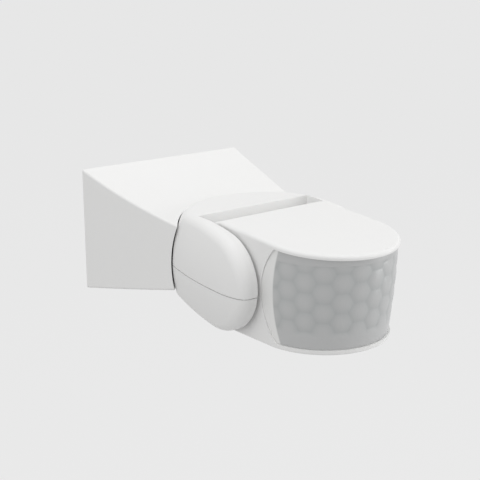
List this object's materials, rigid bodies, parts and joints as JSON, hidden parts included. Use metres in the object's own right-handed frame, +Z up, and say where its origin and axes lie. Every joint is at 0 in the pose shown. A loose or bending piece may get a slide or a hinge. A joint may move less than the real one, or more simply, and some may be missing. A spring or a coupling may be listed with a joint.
{
  "type": "infrared motion sensor",
  "caption": "Wall-mounted infrared motion sensor: a base wedge, a yoke that pans in its hollow front, and a D-shaped head with a segmented lens that tilts between the cheeks.",
  "frame": {"origin": "centre of the wall face, where the base stands on the wall", "axes": "+Y into the wall, -Y out to the front, +Z up, +X to the right seen from the front"},
  "size_m": [0.076, 0.1216, 0.048],
  "materials": {
    "housing_plastic": "white, fine satin",
    "lens_plastic": "milky, pressed in small lenses",
    "inner_plastic": "moulded, plain",
    "knob_plastic": "dark, smooth",
    "terminal_plastic": "smooth",
    "relay_plastic": "smooth",
    "sleeve_plastic": "shrunk sleeve",
    "lamp_plastic": "clear red",
    "board": "green varnish",
    "rubber": "matt",
    "zinc_steel": "zinc plated",
    "nickel_can": "bright nickel"
  },
  "bodies": {
    "base": {"base_housing": "housing_plastic", "wall_plate": "inner_plastic", "housing_screws": "zinc_steel", "cable_grommet": "rubber", "terminal_block": "terminal_plastic", "terminal_screws": "zinc_steel", "pan_stud": "zinc_steel", "pan_shoe": "inner_plastic", "pan_nut": "zinc_steel"},
    "yoke": {"yoke_upper_shell": "housing_plastic", "yoke_lower_shell": "housing_plastic", "yoke_screws": "zinc_steel", "left_friction_washer": "rubber", "right_friction_washer": "rubber"},
    "head": {"head_cover": "housing_plastic", "head_floor": "housing_plastic", "head_screws": "zinc_steel", "segmented_lens": "lens_plastic", "lens_frame": "inner_plastic", "left_tilt_pin": "inner_plastic", "right_tilt_pin": "inner_plastic", "circuit_board": "board", "sensor_riser": "board", "pyro_sensor": "nickel_can", "status_lamp": "lamp_plastic", "relay": "relay_plastic", "capacitor": "sleeve_plastic", "trimmers": "relay_plastic"},
    "time_dial": {"time_knob": "knob_plastic"},
    "light_dial": {"light_knob": "knob_plastic"},
    "range_dial": {"range_knob": "knob_plastic"}
  },
  "joints": [
    {"name": "yoke_pan", "type": "hinge", "parent": "base", "child": "yoke", "pos_m": [0, -0.068, -0.0048], "axis": [0, 0, 1], "range_deg": [-25, 25]},
    {"name": "head_tilt", "type": "hinge", "parent": "yoke", "child": "head", "pos_m": [0, -0.0732, -0.0048], "axis": [1, 0, 0], "range_deg": [-20, 45]},
    {"name": "time_turn", "type": "hinge", "parent": "head", "child": "time_dial", "pos_m": [-0.0106, -0.0834, -0.0225], "axis": [0, 0, -1], "range_deg": [-135, 135]},
    {"name": "light_turn", "type": "hinge", "parent": "head", "child": "light_dial", "pos_m": [0, -0.0834, -0.0225], "axis": [0, 0, -1], "range_deg": [-135, 135]},
    {"name": "range_turn", "type": "hinge", "parent": "head", "child": "range_dial", "pos_m": [0.0106, -0.0834, -0.0225], "axis": [0, 0, -1], "range_deg": [-135, 135]}
  ]
}
